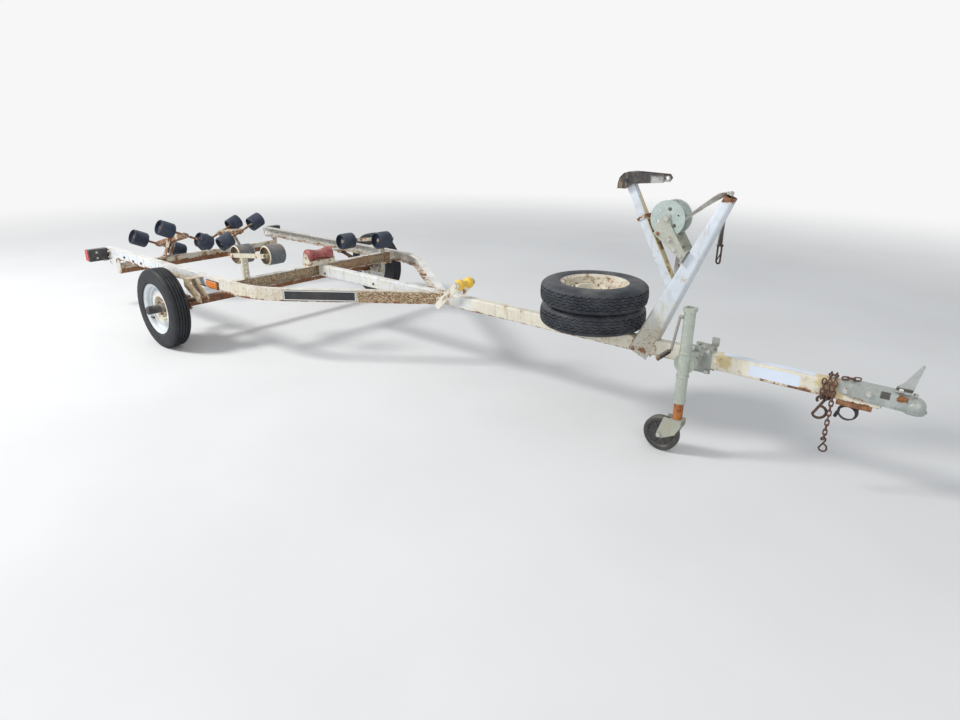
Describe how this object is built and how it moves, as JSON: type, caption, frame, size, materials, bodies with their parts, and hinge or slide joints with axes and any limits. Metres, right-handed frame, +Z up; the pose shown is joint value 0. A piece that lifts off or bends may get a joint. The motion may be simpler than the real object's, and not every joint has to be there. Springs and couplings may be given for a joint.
{
  "type": "roller boat trailer",
  "caption": "Single axle roller trailer for a small boat, with winch post, rocking roller cradles, swing-up tongue jack and spare wheels stacked on the tongue.",
  "frame": {"origin": "on the ground, under the middle of the whole trailer, standing on its two wheels and its jack", "axes": "+X forwards to the coupler, +Y to the trailer's left side, +Z up"},
  "size_m": [5.6077, 2.088, 1.233],
  "materials": {
    "white_paint": "weathered white enamel with rust patches",
    "rusty_steel": "bare rusted steel",
    "zinc": "dull zinc plate",
    "tyre": "worn ribbed tyre rubber",
    "rim_paint": "white rim enamel, lightly rusted",
    "roller_rubber": "weathered dark rubber",
    "keel_rubber": "faded red rubber",
    "bow_rubber": "yellow polymer",
    "strap": "woven webbing",
    "jack_grey": "dull grey zinc paint",
    "black_plastic": "black moulded plastic",
    "red_lens": "red lens",
    "amber_lens": "amber lens"
  },
  "bodies": {
    "chassis": {"tongue": "white_paint", "rail_right": "white_paint", "rail_left": "white_paint", "front_cross_member": "white_paint", "rear_cross_member": "white_paint", "rear_brackets": "white_paint", "axle": "rusty_steel", "leaf_springs": "rusty_steel", "spring_clamps": "rusty_steel", "spring_hangers": "white_paint", "spare_tyres": "tyre", "spare_rims": "rim_paint", "mid_supports": "white_paint", "keel_bracket": "white_paint", "bow_bracket": "white_paint", "cradle_posts": "rusty_steel", "winch_post": "white_paint", "winch_strut": "white_paint", "bow_stop": "rusty_steel", "winch_frame": "zinc", "winch_strap": "strap", "snap_hook": "rusty_steel", "coupler": "zinc", "coupler_latch": "zinc", "chain_hanger": "rusty_steel", "safety_chains": "rusty_steel", "jack_mount": "zinc", "tail_lamps": "black_plastic", "tail_lenses": "red_lens", "side_markers": "amber_lens"},
    "wheel_right": {"tyre_right": "tyre", "rim_right": "rim_paint", "hub_right": "black_plastic"},
    "wheel_left": {"tyre_left": "tyre", "rim_left": "rim_paint", "hub_left": "black_plastic"},
    "mid_roller_right_rear": {"mid_roller_right_rear": "roller_rubber"},
    "mid_roller_right_front": {"mid_roller_right_front": "roller_rubber"},
    "mid_roller_left_rear": {"mid_roller_left_rear": "roller_rubber"},
    "mid_roller_left_front": {"mid_roller_left_front": "roller_rubber"},
    "keel_roller": {"keel_roller": "keel_rubber"},
    "bow_roller": {"bow_roller": "bow_rubber"},
    "cradle_right": {"cradle_right": "rusty_steel"},
    "cradle_left": {"cradle_left": "rusty_steel"},
    "cradle_rollers_right_rear": {"cradle_rollers_right_rear": "roller_rubber"},
    "cradle_rollers_right_front": {"cradle_rollers_right_front": "roller_rubber"},
    "cradle_rollers_left_rear": {"cradle_rollers_left_rear": "roller_rubber"},
    "cradle_rollers_left_front": {"cradle_rollers_left_front": "roller_rubber"},
    "winch_drum": {"winch_drum": "zinc", "strap_coil": "strap"},
    "winch_crank": {"winch_crank": "zinc"},
    "jack": {"jack_tube": "jack_grey", "jack_crank": "zinc"},
    "jack_leg": {"jack_leg": "rusty_steel"},
    "jack_fork": {"jack_fork": "jack_grey"},
    "jack_wheel": {"jack_wheel": "black_plastic"}
  },
  "joints": [
    {"name": "wheel_right_turn", "type": "hinge", "parent": "chassis", "child": "wheel_right", "pos_m": [-1.3445, -0.936, 0.265], "axis": [0, 1, 0], "continuous": true},
    {"name": "wheel_left_turn", "type": "hinge", "parent": "chassis", "child": "wheel_left", "pos_m": [-1.3445, 0.936, 0.265], "axis": [0, 1, 0], "continuous": true},
    {"name": "mid_roller_right_rear_turn", "type": "hinge", "parent": "chassis", "child": "mid_roller_right_rear", "pos_m": [-1.01434, -0.5085, 0.60562], "axis": [0, 1, 0], "continuous": true},
    {"name": "mid_roller_right_front_turn", "type": "hinge", "parent": "chassis", "child": "mid_roller_right_front", "pos_m": [-0.65666, -0.5085, 0.64638], "axis": [0, 1, 0], "continuous": true},
    {"name": "mid_roller_left_rear_turn", "type": "hinge", "parent": "chassis", "child": "mid_roller_left_rear", "pos_m": [-1.20156, 0.5085, 0.53319], "axis": [0, 1, 0], "continuous": true},
    {"name": "mid_roller_left_front_turn", "type": "hinge", "parent": "chassis", "child": "mid_roller_left_front", "pos_m": [-0.77544, 0.5085, 0.59081], "axis": [0, 1, 0], "continuous": true},
    {"name": "keel_roller_turn", "type": "hinge", "parent": "chassis", "child": "keel_roller", "pos_m": [-0.8855, 0, 0.545], "axis": [0, 1, 0], "continuous": true},
    {"name": "bow_roller_turn", "type": "hinge", "parent": "chassis", "child": "bow_roller", "pos_m": [0.49267, 0, 0.549], "axis": [0, 1, 0], "continuous": true},
    {"name": "cradle_right_rock", "type": "hinge", "parent": "chassis", "child": "cradle_right", "pos_m": [-2.5345, -0.265, 0.49], "axis": [0, 0.9135, -0.4067], "range_deg": [-6, 34]},
    {"name": "cradle_rollers_right_rear_turn", "type": "hinge", "parent": "cradle_right", "child": "cradle_rollers_right_rear", "pos_m": [-2.73532, -0.28997, 0.43391], "axis": [0, -0.9135, 0.4067], "continuous": true},
    {"name": "cradle_rollers_right_front_turn", "type": "hinge", "parent": "cradle_right", "child": "cradle_rollers_right_front", "pos_m": [-2.33368, -0.24003, 0.54609], "axis": [0, -0.9135, 0.4067], "continuous": true},
    {"name": "cradle_left_rock", "type": "hinge", "parent": "chassis", "child": "cradle_left", "pos_m": [-2.5345, 0.265, 0.49], "axis": [0, 0.9135, 0.4067], "range_deg": [-14, 26]},
    {"name": "cradle_rollers_left_rear_turn", "type": "hinge", "parent": "cradle_left", "child": "cradle_rollers_left_rear", "pos_m": [-2.74192, 0.27836, 0.45999], "axis": [0, 0.9135, 0.4067], "continuous": true},
    {"name": "cradle_rollers_left_front_turn", "type": "hinge", "parent": "cradle_left", "child": "cradle_rollers_left_front", "pos_m": [-2.32708, 0.25164, 0.52001], "axis": [0, 0.9135, 0.4067], "continuous": true},
    {"name": "winch_drum_turn", "type": "hinge", "parent": "chassis", "child": "winch_drum", "pos_m": [1.7173, 0, 1.04408], "axis": [0, 1, 0], "continuous": true},
    {"name": "winch_crank_turn", "type": "hinge", "parent": "chassis", "child": "winch_crank", "pos_m": [1.73904, 0, 0.95489], "axis": [0, 1, 0], "continuous": true},
    {"name": "jack_swing", "type": "hinge", "parent": "chassis", "child": "jack", "pos_m": [1.9105, -0.11, 0.44], "axis": [0, -1, 0], "range_deg": [0, 90]},
    {"name": "jack_leg_slide", "type": "slide", "parent": "jack", "child": "jack_leg", "axis": [0, 0, -1], "range_m": [-0.074, 0.15]},
    {"name": "jack_caster_turn", "type": "hinge", "parent": "jack_leg", "child": "jack_fork", "pos_m": [1.9105, -0.15, 0.17], "axis": [0, 0, 1], "continuous": true},
    {"name": "jack_wheel_turn", "type": "hinge", "parent": "jack_fork", "child": "jack_wheel", "pos_m": [1.8445, -0.15, 0.085], "axis": [0, 1, 0], "continuous": true}
  ],
  "couplings": [
    {"joint": "winch_crank_turn", "follows": "winch_drum_turn", "ratio": -5}
  ]
}
